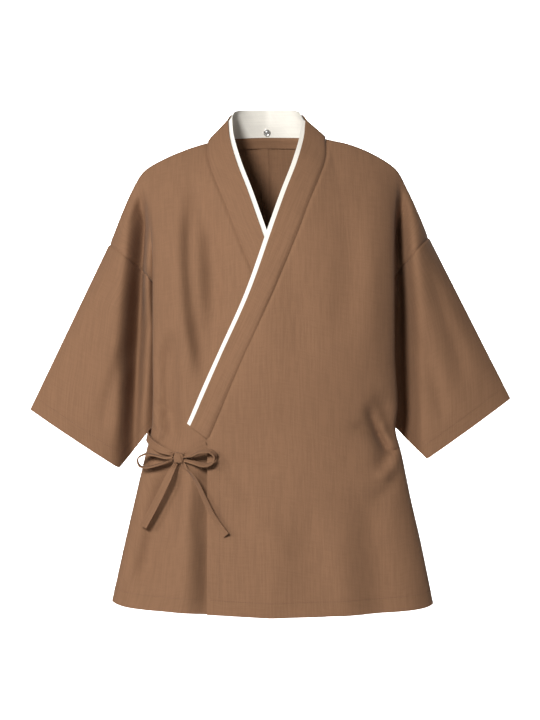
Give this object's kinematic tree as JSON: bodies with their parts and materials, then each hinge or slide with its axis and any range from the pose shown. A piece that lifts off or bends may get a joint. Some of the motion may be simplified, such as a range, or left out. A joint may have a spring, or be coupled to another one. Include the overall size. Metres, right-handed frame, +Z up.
{
  "type": "samue jacket",
  "caption": "Wrap-over work jacket with wide sleeves, a narrow neckband with a pale inner band, and a tied bow at the waist, kept in its worn hollow form.",
  "frame": {"origin": "middle of the shoulder line, level with the points where the shoulders meet the neck, in the plane of the shoulder seams", "axes": "+Z up, +X to the wearer's left, +Y to the wearer's back"},
  "size_m": [0.7444, 0.2763, 0.7775],
  "materials": {
    "brown_cloth": "matte plain weave with fine slubs along the warp",
    "ivory_cloth": "smooth matte plain weave",
    "snap_metal": "dull nickel"
  },
  "bodies": {
    "root": {"front_left": "brown_cloth", "front_right": "brown_cloth", "back_left": "brown_cloth", "back_right": "brown_cloth", "sleeve_left": "brown_cloth", "sleeve_right": "brown_cloth", "collar": "brown_cloth", "bow_knot": "brown_cloth", "tie_front": "brown_cloth", "tie_side": "brown_cloth", "bow_loop_front": "brown_cloth", "bow_loop_side": "brown_cloth", "bow_tail_side": "brown_cloth", "bow_tail_front": "brown_cloth", "collar_lining": "ivory_cloth", "collar_snap": "snap_metal"}
  },
  "joints": []
}
